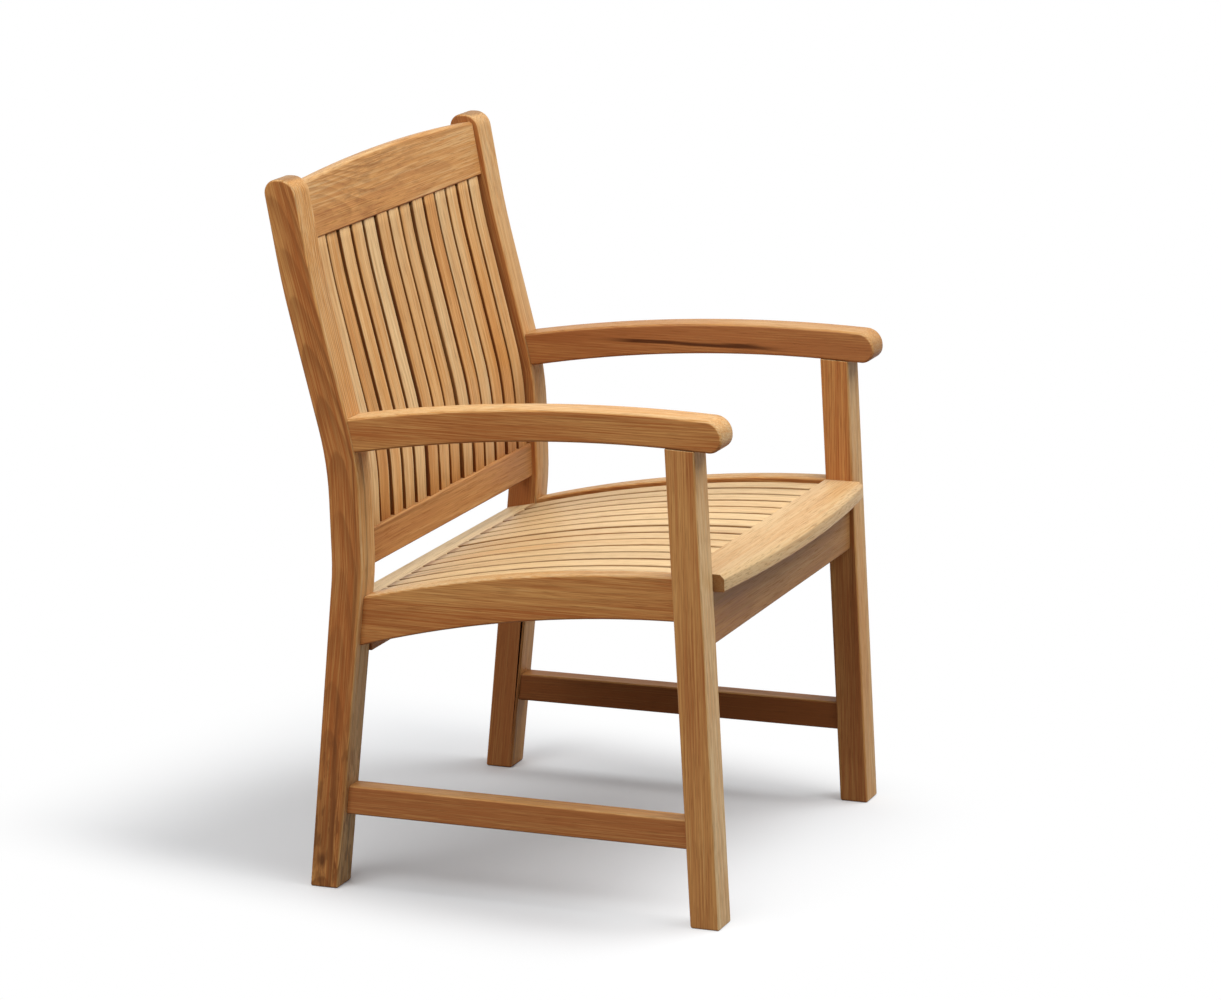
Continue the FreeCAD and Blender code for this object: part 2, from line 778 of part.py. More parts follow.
os.makedirs("parts", exist_ok=True)
for name, shape in pieces.items():
    solid = shape.Solids[0] if len(shape.Solids) == 1 else shape
    solid.exportStep("parts/" + name + ".step")
print(len(pieces), "pieces")
for name, shape in pieces.items():
    if len(shape.Solids) != 1 or not shape.isValid():
        print(name, len(shape.Solids), "solids, valid:", shape.isValid())
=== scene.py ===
import math

import bpy
from mathutils import Matrix, Vector


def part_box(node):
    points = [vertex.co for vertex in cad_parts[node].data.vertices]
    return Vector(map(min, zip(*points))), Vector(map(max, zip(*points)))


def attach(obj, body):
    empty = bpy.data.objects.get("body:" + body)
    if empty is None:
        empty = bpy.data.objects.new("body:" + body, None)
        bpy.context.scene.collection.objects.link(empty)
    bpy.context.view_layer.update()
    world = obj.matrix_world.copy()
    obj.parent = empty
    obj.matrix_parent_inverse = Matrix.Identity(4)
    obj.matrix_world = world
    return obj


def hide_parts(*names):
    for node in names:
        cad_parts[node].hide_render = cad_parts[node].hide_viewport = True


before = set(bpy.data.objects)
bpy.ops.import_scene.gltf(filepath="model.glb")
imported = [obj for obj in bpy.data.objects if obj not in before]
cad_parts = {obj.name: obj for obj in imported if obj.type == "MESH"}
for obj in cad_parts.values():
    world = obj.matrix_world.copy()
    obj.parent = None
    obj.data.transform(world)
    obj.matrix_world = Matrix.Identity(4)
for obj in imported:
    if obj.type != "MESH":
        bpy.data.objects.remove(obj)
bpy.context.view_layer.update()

bl_info = {
    "name": "Slatted teak garden armchair",
    "version": (1, 0, 0),
    "blender": (4, 5, 0),
    "location": "3D View > Sidebar > Armchair",
    "description": "Dresses the armchair's frame in oiled teak and sets its studio",
    "category": "Object",
}

MILLIMETRE = 0.001

# Each solid piece is cut from its own board.
#   grain          the axis that the grain runs along
#   seed           picks the board's own growth
#   pith           where the heart of the tree lies off the board's middle: across, through
#   lean           how fast the rings run out of the face, into flames
#   tone           from dark to pale
#   figure         how strongly the growth lines show
#   streak         how strongly the dark mineral streaks show
#   bent           whether the grain follows the rear posts' bends
#   dull           how far the colour has weathered
#    painted_shade, end  painted shade on the long faces of a board that lies in shade, and how dark
#    its end grain is
#   knot           where a knot lies off the board's middle: across, through, along
#   knot_size      about half the knot's width
#   knot_share     how dark the knot is
#   stain          how far off the board's middle a long dark streak lies
# The left pieces have lower tones than their right twins, and the left stretcher, the aprons and
# the left armrest have painted_shade: painted shade, as these pieces lie in shade.
BOARDS = {
    "rear_leg_right": dict(
        grain="Z", seed=3.1, pith=(0.045, -0.03), lean=0.05, tone=0.41, figure=1.0, streak=0.65,
        bent=True, knot=(-0.0205, -0.03, -0.432), knot_size=0.0065, knot_share=0.8),
    "rear_leg_left": dict(
        grain="Z", seed=7.4, pith=(0.02, -0.16), lean=0.02, tone=0.3, figure=0.45, streak=0.25,
        bent=True, dull=0.4),
    "front_leg_right": dict(
        grain="Z", seed=11.2, pith=(0.05, 0.12), lean=0.012, tone=0.56, figure=0.5, streak=0.2,
        dull=0.3),
    "front_leg_left": dict(
        grain="Z", seed=15.8, pith=(-0.03, 0.1), lean=0.015, tone=0.4, figure=0.45, streak=0.3,
        dull=0.4),
    "armrest_right": dict(
        grain="Y", seed=19.5, pith=(0.03, -0.11), lean=0.014, tone=0.46, figure=0.5, streak=0.25,
        end=0.15),
    "armrest_left": dict(
        grain="Y", seed=23.7, pith=(-0.05, -0.13), lean=0.012, tone=0.28, figure=0.5, streak=0.7,
        painted_shade=0.06, dull=0.7, end=0.3, stain=-0.006),
    "side_rail_right": dict(
        grain="Y", seed=27.3, pith=(0.09, 0.02), lean=0.02, tone=0.5, figure=0.5, streak=0.3),
    "side_rail_left": dict(
        grain="Y", seed=31.9, pith=(-0.08, 0.03), lean=0.018, tone=0.45, figure=0.5, streak=0.3),
    "side_stretcher_right": dict(
        grain="Y", seed=35.2, pith=(0.04, 0.1), lean=0.015, tone=0.18, figure=0.5, streak=0.3,
        dull=0.4),
    "side_stretcher_left": dict(
        grain="Y", seed=39.6, pith=(-0.05, 0.09), lean=0.015, tone=0.1, figure=0.6, streak=0.9,
        painted_shade=0.5),
    "seat_front_board": dict(
        grain="X", seed=43.1, pith=(-0.12, 0.03), lean=0.01, tone=0.68, figure=0.24, streak=0.1,
        dull=0.55),
    "front_apron": dict(
        grain="X", seed=47.8, pith=(0.02, -0.1), lean=0.02, tone=0.14, figure=0.4, streak=0.3,
        dull=0.5, painted_shade=0.4),
    "seat_rear_board": dict(
        grain="X", seed=51.4, pith=(-0.11, 0.04), lean=0.015, tone=0.74, figure=0.4, streak=0.25,
        dull=0.0),
    "rear_apron": dict(
        grain="X", seed=55.9, pith=(0.03, 0.12), lean=0.015, tone=0.1, figure=0.5, streak=0.3,
        painted_shade=0.4),
    "seat_bearer": dict(
        grain="X", seed=59.3, pith=(0.1, 0.03), lean=0.015, tone=0.4, figure=0.5, streak=0.3),
    "lower_back_rail": dict(
        grain="X", seed=63.7, pith=(0.04, 0.11), lean=0.018, tone=0.08, figure=0.5, streak=0.4,
        dull=0.8),
    "crest_rail": dict(
        grain="X", seed=67.2, pith=(0.03, 0.07), lean=0.03, tone=0.3, figure=0.48, streak=0.25,
        dull=0.35, knot=(-0.014, -0.0065, -0.082), knot_size=0.006, knot_share=0.25),
}

# A knot or a dark line so far off that the board doesn't reach it.
NO_KNOT = (0.0, 0.0, -9.0)
NO_STAIN = 9.0

# What a board has where it doesn't say otherwise.
PLAIN_BOARD = dict(seed=0.0, tone=0.5, streak=0.25, bent=False, dull=0.15, painted_shade=0.0, end=0.62,
                   knot=NO_KNOT, knot_size=0.004, knot_share=0.0, stain=NO_STAIN)

# The slats' boards. Each slat brings its own seed, tone and dullness.
SLAT_BOARDS = {
    "seat_slats": dict(pith=(0.0, 0.085), lean=0.012, figure=0.45),
    "back_slats": dict(pith=(0.0, 0.09), lean=0.010, figure=0.45),
}

# A turned board's grain is brought to the pattern's own Z axis.
GRAIN_TURNS = {
    "X": (0.0, math.radians(90), 0.0),
    "Y": (math.radians(-90), 0.0, 0.0),
    "Z": (0.0, 0.0, 0.0),
}
GRAIN_AXES = {"X": (1.0, 0.0, 0.0), "Y": (0.0, 1.0, 0.0), "Z": (0.0, 0.0, 1.0)}

# The rear posts' grain follows their bends: below the first and above the second height it slants
# by this much for each metre up.
POST_BENDS = ((0.434, -0.127), (0.580, 0.233))

# The clouds that the grain is made of: how often each changes in a metre across, through and
# along the board, and its detail.
CLOUDS = {
    "ragged": ((260.0, 260.0, 9.0), 2.0),
    "stray": ((10.0, 10.0, 1.6), 2.0),
    "strength": ((60.0, 60.0, 5.0), 1.0),
    "pores": ((750.0, 750.0, 32.0), 1.0),
    "patches": ((17.0, 17.0, 2.2), 1.5),
    "bands": ((240.0, 240.0, 4.0), 2.0),
    "streaks": ((75.0, 75.0, 1.9), 2.0),
    "burrs": ((120.0, 120.0, 34.0), 3.0),
}
SEED_STEPS = (0.31, 0.57, 0.83)  # how far one step of the seed moves the clouds
FIBRE_LENGTH = 70.0  # in fibre widths
FIBRE_DETAIL = 3.0
FIBRE_ROUGHNESS = 0.62
PATCH_SHARE, BAND_SHARE = 0.65, 0.35
KNOT_SHAPE = (1.0, 1.0, 0.5)  # twice as long as wide
STAIN_WIDTH = 9 * MILLIMETRE

# The ramps of the looks: where each starts and ends, and its values there if not 0 and 1. The
# board gives the values of the end grain's.
RAMPS = {
    "knot": (0.3, 1.2, 1.0, 0.0),
    "swelling": (0.0, 12.0, 1.2, 0.0),
    "wildness": (3.0, 20.0, 1.7, 1.0),
    "ring_rises": (0.15, 0.86),
    "ring_falls": (0.88, 1.0, 1.0, 0.0),
    "strength": (0.3, 0.7, 0.25, 1.0),
    "fibres": (0.33, 0.67),
    "pores": (0.56, 0.68),
    "patches": (0.32, 0.68),
    "streaks": (0.60, 0.74),
    "stain": (0.60, 0.95, 2.2, 0.0),
    "stain_ends": (0.07, 0.15, 1.0, 0.0),
    "burrs": (0.50, 0.64),
    "burrs_end": (4.0, 24.0, 1.0, 0.0),
    # painted light: faces that look up and forward are lightened, as the lamps fall on them
    "sunlit": (0.15, 0.80, 0.0, 0.51),
    # painted shade: faces that look down are darkened towards the ring and shade colour
    "painted_underside_shade": (-0.7, -0.2, 0.55, 0.0),
    "end_grain": (0.80, 0.97),
    # painted shade on the slats' sides, deepest inside each gap
    "slat_gap_shade_edge": (14.0 * MILLIMETRE, 14.8 * MILLIMETRE, 0.0, 0.85),
    "slat_gap_shade_depth": (2.5 * MILLIMETRE, 5.8 * MILLIMETRE, 1.0, 0.55),
    "shade_across": (0.62, 1.05, 1.0, 0.0),
    "shade_along": (0.40, 1.05, 1.0, 0.0),
    "overhead": (0.15, 0.85, 0.06, 1.0),
    "beside": (0.0, 0.9),
}

# How much each mask of the grain adds to the wood's lightness, roughness and relief.
LIGHTNESS = {"Patches": 0.38, "Fibres": 0.33}
MIDDLE_TONE = 0.61
ROUGHNESS = {"Fibres": 0.10, "Pores": 0.12}
LEAST_ROUGHNESS = 0.40
RELIEF = {"Fibres": 0.35, "Pores": -0.6, "Rings": -0.25}
# Faces that look up, and in part those that look forward, get painted light where the lamps fall on
# them.
PAINTED_LIGHT_FORWARD = 0.85  # how much a face that looks forward counts as one that looks up

# The slats' sizes and tones, and the lines that they follow, which repeat the solids'.
# The seat's slats have paler tones than the back's: painted light on the seat, which faces up and
# from which the arms and back keep some light.
SEAT_SLAT = dict(Width=31 * MILLIMETRE, Thickness=13 * MILLIMETRE, Pitch=36.5 * MILLIMETRE,
                 Darkest=0.68, Palest=1.16)
SEAT_CREST = Vector((0, -256.4, 452)) * MILLIMETRE
SEAT_REAR = Vector((0, 197.3, 394)) * MILLIMETRE
SEAT_SLAT_LINE = {"Front": -236 * MILLIMETRE, "Middle": -20 * MILLIMETRE,
                  "Rear": 199.2 * MILLIMETRE}
SEAT_UNEVENNESS = 0.4  # the seat's slats are this much as uneven as the back's
BACK_SLAT = dict(Width=30.2 * MILLIMETRE, Thickness=12 * MILLIMETRE, Pitch=36.2 * MILLIMETRE,
                 Darkest=0.25, Palest=0.58)
POST_WAIST = Vector((0, 192.7, 580)) * MILLIMETRE
POST_CREST = Vector((0, 246.2, 809.9)) * MILLIMETRE
POST_WAIST_RADIUS = 450 * MILLIMETRE
POST_CREST_RADIUS = 1000 * MILLIMETRE
BACK_LEAN = math.radians(13.1)
CREST_LEAN = math.radians(9)
SLAT_BEHIND_FACE = 11 * MILLIMETRE  # from the posts' front face to the back slats' own
SLAT_FOOT = 479 * MILLIMETRE
SLAT_ABOVE_BEND = 52 * MILLIMETRE
SEAT_STEPS, BEND_STEPS, EDGE_STEPS = 25, 9, 3  # points on the seat's arc, a bend and an edge
HEART_SWING = 0.05  # how far the heart lies to one side or the other from slat to slat
MOST_DULL = 0.35  # of a slat
GRAIN_RUN = 90.0  # the slats' seeds lie between 0 and this
BACK_SEED = 20  # added to the seed for the back
TONE_DRAW, GRAIN_DRAW, DULL_DRAW, SIDEWAYS_DRAW, IN_AND_OUT_DRAW, WIDTH_DRAW = range(1, 7)

# The studio.
SHADE_MIDDLE = (0.03, 0.17, 0.0)
SHADE_TURN = (0.0, 0.0, math.radians(-13))
FLOOR_STEPS = 96
FLOOR_GLOW = (0.3, 0.3, 0.3, 1.0)  # the floor's colour for the light that it throws up
LAMP_AIM = Vector((0.0, 0.0, 0.45))
LAMP_DISTANCE = 3.4
FRONT_LAMP_TOWARDS = (0.15, -0.62, 1.0)
SIDE_LAMP_TOWARDS = (-0.85, 0.22, 0.78)

# The photograph's camera, solved from the chair's own right angles and level lines.
CAMERA_PLACE = (-5.06582, -2.21319, 1.81829)
CAMERA_HEADING = -1.163650
CAMERA_DIP = 0.238887
CAMERA_ROLL = -0.029974
CAMERA_LENS = 126.27
CAMERA_SENSOR = 36.0


class ArmchairTeak(bpy.types.PropertyGroup):
    heart_colour: bpy.props.FloatVectorProperty(
        name="Heart colour", description="Rich red-brown of the oiled heartwood",
        default=(0.405, 0.120, 0.026), subtype="COLOR", min=0, max=1)
    pale_colour: bpy.props.FloatVectorProperty(
        name="Pale colour", description="Golden tan of the paler growth",
        default=(0.66, 0.325, 0.100), subtype="COLOR", min=0, max=1)
    # Also the colour of the painted shade on faces that look down.
    ring_colour: bpy.props.FloatVectorProperty(
        name="Ring and shade colour", description="Brown of the growth lines",
        default=(0.22, 0.074, 0.020), subtype="COLOR", min=0, max=1)
    # Also the colour that end grain darkens towards, and of the painted shade in the slats' gaps
    # and on boards that lie in shade.
    streak_colour: bpy.props.FloatVectorProperty(
        name="Streak and shade colour", description="Dark brown of the mineral streaks and knots",
        default=(0.10, 0.033, 0.011), subtype="COLOR", min=0, max=1)
    # Painted light: the colour that faces looking up and forward are lightened towards.
    sunlit_colour: bpy.props.FloatVectorProperty(
        name="Painted light colour", description="Faded tan of the faces that look up",
        default=(0.83, 0.60, 0.32), subtype="COLOR", min=0, max=1)
    greyed_colour: bpy.props.FloatVectorProperty(
        name="Greyed colour", description="Dull brown of the boards that have weathered",
        default=(0.40, 0.225, 0.105), subtype="COLOR", min=0, max=1)
    ring_spacing: bpy.props.FloatProperty(
        name="Ring spacing", description="Distance between growth lines",
        default=3.6 * MILLIMETRE, unit="LENGTH", min=0.001)
    ring_wander: bpy.props.FloatProperty(
        name="Ring wander", description="How far the growth lines stray from a true circle",
        default=9 * MILLIMETRE, unit="LENGTH", min=0)
    fibre_width: bpy.props.FloatProperty(
        name="Fibre width", description="Width of the fine lines along the grain",
        default=1.5 * MILLIMETRE, unit="LENGTH", min=0.0002)
    arris_radius: bpy.props.FloatProperty(
        name="Arris radius", description="Rounding sanded onto every edge",
        default=1.1 * MILLIMETRE, unit="LENGTH", min=0)


class ArmchairSlats(bpy.types.PropertyGroup):
    count: bpy.props.IntProperty(
        name="Slats in a row", description="Slats in the seat, and in the back",
        default=14, min=2)
    edge_radius: bpy.props.FloatProperty(
        name="Slat edge radius", description="Rounding of a slat's long edges",
        default=1.6 * MILLIMETRE, unit="LENGTH", min=0)
    sideways: bpy.props.FloatProperty(
        name="Sideways", description="How far a slat may sit to one side of its place",
        default=0.4 * MILLIMETRE, unit="LENGTH", min=0)
    in_and_out: bpy.props.FloatProperty(
        name="In and out", description="How far a slat may stand forward or back",
        default=1.3 * MILLIMETRE, unit="LENGTH", min=0)
    width_share: bpy.props.FloatProperty(
        name="Width share", description="How much narrower than the widest a slat may be",
        default=0.05, min=0, max=0.3)
    seed: bpy.props.IntProperty(
        name="Seed", description="Picks the slats' tones and grain", default=5)


class ArmchairStage(bpy.types.PropertyGroup):
    floor_colour: bpy.props.FloatVectorProperty(
        name="Floor colour", description="Pale grey of the floor by the chair",
        default=(0.882, 0.897, 0.911), subtype="COLOR", min=0, max=1)
    floor_radius: bpy.props.FloatProperty(
        name="Floor radius", description="Reach of the floor round the chair",
        default=16.0, unit="LENGTH", min=2)
    shade_across: bpy.props.FloatProperty(
        name="Shade across", description="Reach of the grey floor to each side of its middle",
        default=0.457, unit="LENGTH", min=0.1)
    shade_along: bpy.props.FloatProperty(
        name="Shade along", description="Reach of the grey floor before and behind its middle",
        default=0.667, unit="LENGTH", min=0.1)
    front_power: bpy.props.FloatProperty(
        name="Front lamp", description="Power of the large soft lamp in front and above",
        default=95.0, unit="POWER", min=0)
    side_power: bpy.props.FloatProperty(
        name="Side lamp", description="Power of the soft lamp at the sitter's right",
        default=50.0, unit="POWER", min=0)
    lamp_size: bpy.props.FloatProperty(
        name="Lamp size", description="Side of each soft lamp",
        default=2.6, unit="LENGTH", min=0.1)
    fill_strength: bpy.props.FloatProperty(
        name="Fill strength", description="Pale light from overhead", default=0.62, min=0)
    side_fill: bpy.props.FloatProperty(
        name="Side fill", description="Pale light from all of the sitter's right",
        default=0.12, min=0)


def named(title):
    """The Python name of a socket's title."""
    return title.lower().replace(" ", "_")


def place(tree, kind, label, **settings):
    made = tree.nodes.new(kind)
    made.label = label
    for name, value in settings.items():
        setattr(made, name, value)
    return made


def feed(tree, socket, value):
    if isinstance(value, bpy.types.NodeSocket):
        tree.links.new(value, socket)
    else:
        socket.default_value = value


def calculate(tree, operation, first, second=0.0, clamp=False):
    made = place(tree, "ShaderNodeMath", operation.title(), operation=operation, use_clamp=clamp)
    feed(tree, made.inputs[0], first)
    feed(tree, made.inputs[1], second)
    return made.outputs[0]


def times(tree, first, second, clamp=False):
    return calculate(tree, "MULTIPLY", first, second, clamp)


def plus(tree, first, *others):
    for other in others:
        first = calculate(tree, "ADD", first, other)
    return first


def less(tree, first, second, clamp=False):
    return calculate(tree, "SUBTRACT", first, second, clamp)


def weighed(tree, start, given, weights):
    """The start with each mask added by its weight."""
    for mask, weight in weights.items():
        start = plus(tree, start, times(tree, given[mask], weight))
    return start


def calculate_vector(tree, operation, first, second=(0.0, 0.0, 0.0)):
    made = place(tree, "ShaderNodeVectorMath", operation.title(), operation=operation)
    feed(tree, made.inputs[0], first)
    feed(tree, made.inputs[1], second)
    return made.outputs["Value" if operation == "LENGTH" else "Vector"]


def joined_vector(tree, across, through, along):
    made = place(tree, "ShaderNodeCombineXYZ", "Place")
    feed(tree, made.inputs[0], across)
    feed(tree, made.inputs[1], through)
    feed(tree, made.inputs[2], along)
    return made.outputs[0]


def parts_of(tree, vector, label="Across, through, along"):
    made = place(tree, "ShaderNodeSeparateXYZ", label)
    tree.links.new(vector, made.inputs[0])
    return tuple(made.outputs)


def ramped(tree, value, start, end, low=0.0, high=1.0):
    made = place(tree, "ShaderNodeMapRange", "Ramp", interpolation_type="SMOOTHSTEP")
    for title, level in (("Value", value), ("From Min", start), ("From Max", end),
                         ("To Min", low), ("To Max", high)):
        feed(tree, made.inputs[title], level)
    return made.outputs["Result"]


def blended(tree, share, first, second):
    made = place(tree, "ShaderNodeMix", "Blend", data_type="RGBA")
    feed(tree, made.inputs[0], share)
    feed(tree, made.inputs[6], first)
    feed(tree, made.inputs[7], second)
    return made.outputs[2]


def cloud(tree, spot, often, detail, roughness=0.5):
    made = place(tree, "ShaderNodeTexNoise", "Cloud", noise_dimensions="3D")
    feed(tree, made.inputs["Vector"], calculate_vector(tree, "MULTIPLY", spot, often))
    made.inputs["Scale"].default_value = 1.0
    made.inputs["Detail"].default_value = detail
    made.inputs["Roughness"].default_value = roughness
    return made.outputs["Fac"]


def new_tree(name, kind, inputs, outputs):
    """An empty tree with its sockets, whose titles are given for each kind of socket."""
    tree = bpy.data.node_groups.new(name, kind)
    for side, sockets in (("INPUT", inputs), ("OUTPUT", outputs)):
        for socket_kind, titles in sockets.items():
            for title in titles:
                tree.interface.new_socket(title, in_out=side, socket_type=socket_kind)
    start = place(tree, "NodeGroupInput", "In")
    end = place(tree, "NodeGroupOutput", "Out")
    return tree, start.outputs, end.inputs


GRAIN_MASKS = ("Rings", "Fibres", "Pores", "Patches", "Streaks", "Knots")
GRAIN_SIZES = ("Ring Spacing", "Ring Wander", "Fibre Width")
GRAIN_VALUES = ("Seed", "Lean", "Knot Size", "Stain")
FINISH_VALUES = ("Tone", "Dull", "Figure", "Streak", "Knot Share")
TEAK_COLOURS = ("Heart Colour", "Pale Colour", "Ring Colour", "Streak Colour", "Sunlit Colour",
                "Greyed Colour")


def make_grain_group():
    """Growth rings, fibres, pores, patches and streaks of one board, along its own Z axis."""
    tree, given, result = new_tree(
        "Teak grain", "ShaderNodeTree",
        {"NodeSocketVector": ("Spot", "Pith", "Knot"),
         "NodeSocketFloat": (*GRAIN_VALUES, *GRAIN_SIZES)},
        {"NodeSocketFloat": GRAIN_MASKS})
    shift = joined_vector(tree, *(times(tree, given["Seed"], step) for step in SEED_STEPS))
    spot = calculate_vector(tree, "ADD", given["Spot"], shift)
    across, through, along = parts_of(tree, given["Spot"])

    # The grain swells round a knot, which is a short dark ellipse along the grain.
    off_knot = calculate_vector(tree, "SUBTRACT", given["Spot"], given["Knot"])
    off_knot = calculate_vector(tree, "MULTIPLY", off_knot, KNOT_SHAPE)
    off_knot = calculate_vector(tree, "LENGTH", off_knot)
    off_knot = calculate(tree, "DIVIDE", off_knot, given["Knot Size"])
    ragged = cloud(tree, spot, *CLOUDS["ragged"])
    knot_edge = plus(tree, off_knot, less(tree, ragged, 0.5))
    tree.links.new(ramped(tree, knot_edge, *RAMPS["knot"]), result["Knots"])
    swelling = times(tree, ramped(tree, off_knot, *RAMPS["swelling"]), given["Knot Size"])
    wildness = ramped(tree, off_knot, *RAMPS["wildness"])

    # The rings lie round the heart of the tree, and stray a little.
    stray = less(tree, cloud(tree, spot, *CLOUDS["stray"]), 0.5)
    stray = times(tree, stray, given["Ring Wander"])
    pith_across, pith_through = parts_of(tree, given["Pith"], "Pith")[:2]
    off_pith = joined_vector(tree, less(tree, across, pith_across),
                             less(tree, through, pith_through), 0.0)
    radius = plus(tree, calculate_vector(tree, "LENGTH", off_pith),
                  times(tree, along, given["Lean"]), stray, swelling)
    rings = calculate(tree, "DIVIDE", radius, given["Ring Spacing"])
    rings = calculate(tree, "FRACT", rings)
    ringed = times(tree, ramped(tree, rings, *RAMPS["ring_rises"]),
                   ramped(tree, rings, *RAMPS["ring_falls"]))
    strength = cloud(tree, spot, *CLOUDS["strength"])
    ringed = times(tree, ringed, ramped(tree, strength, *RAMPS["strength"]))
    tree.links.new(times(tree, ringed, wildness), result["Rings"])

    finer = calculate(tree, "DIVIDE", 1.0, given["Fibre Width"])
    often = joined_vector(tree, finer, finer, calculate(tree, "DIVIDE", finer, FIBRE_LENGTH))
    fibres = cloud(tree, spot, often, FIBRE_DETAIL, FIBRE_ROUGHNESS)
    tree.links.new(ramped(tree, fibres, *RAMPS["fibres"]), result["Fibres"])
    pores = cloud(tree, spot, *CLOUDS["pores"])
    tree.links.new(ramped(tree, pores, *RAMPS["pores"]), result["Pores"])
    patches = plus(tree, times(tree, cloud(tree, spot, *CLOUDS["patches"]), PATCH_SHARE),
                   times(tree, cloud(tree, spot, *CLOUDS["bands"]), BAND_SHARE))
    tree.links.new(ramped(tree, patches, *RAMPS["patches"]), result["Patches"])

    # One long dark ragged line runs along the board, at its own place in it.
    off_stain = calculate(tree, "ABSOLUTE", less(tree, through, given["Stain"]))
    off_stain = plus(tree, calculate(tree, "DIVIDE", off_stain, STAIN_WIDTH), ragged)
    stained = times(tree, ramped(tree, off_stain, *RAMPS["stain"]),
                    ramped(tree, calculate(tree, "ABSOLUTE", along), *RAMPS["stain_ends"]))

    # Round a knot the wood is marked with short dark burrs.
    burrs = times(tree, ramped(tree, cloud(tree, spot, *CLOUDS["burrs"]), *RAMPS["burrs"]),
                  ramped(tree, off_knot, *RAMPS["burrs_end"]))
    streaks = ramped(tree, cloud(tree, spot, *CLOUDS["streaks"]), *RAMPS["streaks"])
    streaks = calculate(tree, "MAXIMUM", streaks, stained)
    tree.links.new(calculate(tree, "MAXIMUM", streaks, burrs), result["Streaks"])
    return tree


def make_finish_group():
    """Colour, roughness and relief of the oiled wood from its grain masks, with painted light on
    faces that look up and forward, and painted shade on faces that look down, in the slats' gaps
    and on boards that lie in shade.
    """
    tree, given, result = new_tree(
        "Teak finish", "ShaderNodeTree",
        {"NodeSocketFloat": (*GRAIN_MASKS, *FINISH_VALUES, "Shaded"),
         "NodeSocketVector": ("Normal",), "NodeSocketColor": TEAK_COLOURS},
        {"NodeSocketColor": ("Color",), "NodeSocketFloat": ("Roughness", "Height")})
    back, up = parts_of(tree, given["Normal"], "Facing")[1:]
    sunlit = plus(tree, times(tree, back, -PAINTED_LIGHT_FORWARD), up)
    sunlit = ramped(tree, sunlit, *RAMPS["sunlit"])
    lightness = weighed(tree, 0.0, given, LIGHTNESS)
    lightness = plus(tree, lightness, sunlit, less(tree, given["Tone"], MIDDLE_TONE))

    # Dark wood is the heart's colour, middling wood is pale and the lightest takes the
    # painted-light colour; faces that look up and forward are painted lighter, as the lamps fall on
    # them.
    doubled = times(tree, lightness, 2.0)
    first_half = times(tree, lightness, 2.0, clamp=True)
    last_half = less(tree, doubled, 1.0, clamp=True)
    colour = blended(tree, first_half, given["Heart Colour"], given["Pale Colour"])
    colour = blended(tree, last_half, colour, given["Sunlit Colour"])
    for share, most, layer in (
            (given["Dull"], 0.5, "Greyed Colour"),
            (times(tree, given["Rings"], given["Figure"]), 0.48, "Ring Colour"),
            (times(tree, given["Streaks"], given["Streak"]), 0.75, "Streak Colour"),
            (given["Pores"], 0.32, "Ring Colour"),
            # End grain is darker for real; the slats' gaps and the boards that lie in shade get
            # painted shade here.
            (given["Shaded"], 0.78, "Streak Colour"),
            (times(tree, given["Knots"], given["Knot Share"]), 1.0, "Streak Colour"),
            # Faces that look down get painted shade.
            (ramped(tree, up, *RAMPS["painted_underside_shade"]), 1.0, "Ring Colour")):
        colour = blended(tree, times(tree, share, most), colour, given[layer])
    tree.links.new(colour, result["Color"])
    tree.links.new(weighed(tree, LEAST_ROUGHNESS, given, ROUGHNESS), result["Roughness"])
    tree.links.new(weighed(tree, 0.0, given, RELIEF), result["Height"])
    return tree


def shared_group(name, make):
    return bpy.data.node_groups.get(name) or make()


def teak_nodes(name, teak, board):
    """A teak material with its grain, finish and shader wired and its board's own values set."""
    material = bpy.data.materials.new("teak_" + name)
    material.use_nodes = True
    tree = material.node_tree
    tree.nodes.clear()
    grain = place(tree, "ShaderNodeGroup", "Grain")
    grain.node_tree = shared_group("Teak grain", make_grain_group)
    finish = place(tree, "ShaderNodeGroup", "Finish")
    finish.node_tree = shared_group("Teak finish", make_finish_group)
    for mask in GRAIN_MASKS:
        tree.links.new(grain.outputs[mask], finish.inputs[mask])
    for title in GRAIN_SIZES:
        grain.inputs[title].default_value = getattr(teak, named(title))
    for title in TEAK_COLOURS:
        finish.inputs[title].default_value = (*getattr(teak, named(title)), 1.0)
    for group, titles in ((grain, GRAIN_VALUES), (finish, FINISH_VALUES)):
        for title in titles:
            group.inputs[title].default_value = board[named(title)]
    grain.inputs["Knot"].default_value = board["knot"]
    grain.inputs["Pith"].default_value = (*board["pith"], 0.0)
    facing = place(tree, "ShaderNodeNewGeometry", "Facing")
    tree.links.new(facing.outputs["Normal"], finish.inputs["Normal"])
    relief = place(tree, "ShaderNodeBump", "Relief")
    relief.inputs["Strength"].default_value = 0.35
    relief.inputs["Distance"].default_value = 0.0004
    tree.links.new(finish.outputs["Height"], relief.inputs["Height"])
    shader = place(tree, "ShaderNodeBsdfPrincipled", "Oiled teak")
    shader.inputs["IOR"].default_value = 1.38
    shader.inputs["Specular IOR Level"].default_value = 0.15
    tree.links.new(finish.outputs["Color"], shader.inputs["Base Color"])
    tree.links.new(finish.outputs["Roughness"], shader.inputs["Roughness"])
    tree.links.new(relief.outputs["Normal"], shader.inputs["Normal"])
    output = place(tree, "ShaderNodeOutputMaterial", "Out")
    tree.links.new(shader.outputs["BSDF"], output.inputs["Surface"])
    return material, grain, finish


def straightened(tree, spot):
    """A place in a rear post, moved so that the post's bends come straight."""
    side, back, up = parts_of(tree, spot, "Place in the post")
    (low_height, low_slant), (high_height, high_slant) = POST_BENDS
    below = calculate(tree, "MINIMUM", less(tree, up, low_height), 0.0)
    above = calculate(tree, "MAXIMUM", less(tree, up, high_height), 0.0)
    shift = plus(tree, times(tree, below, low_slant), times(tree, above, high_slant))
    return joined_vector(tree, side, less(tree, back, shift), up)


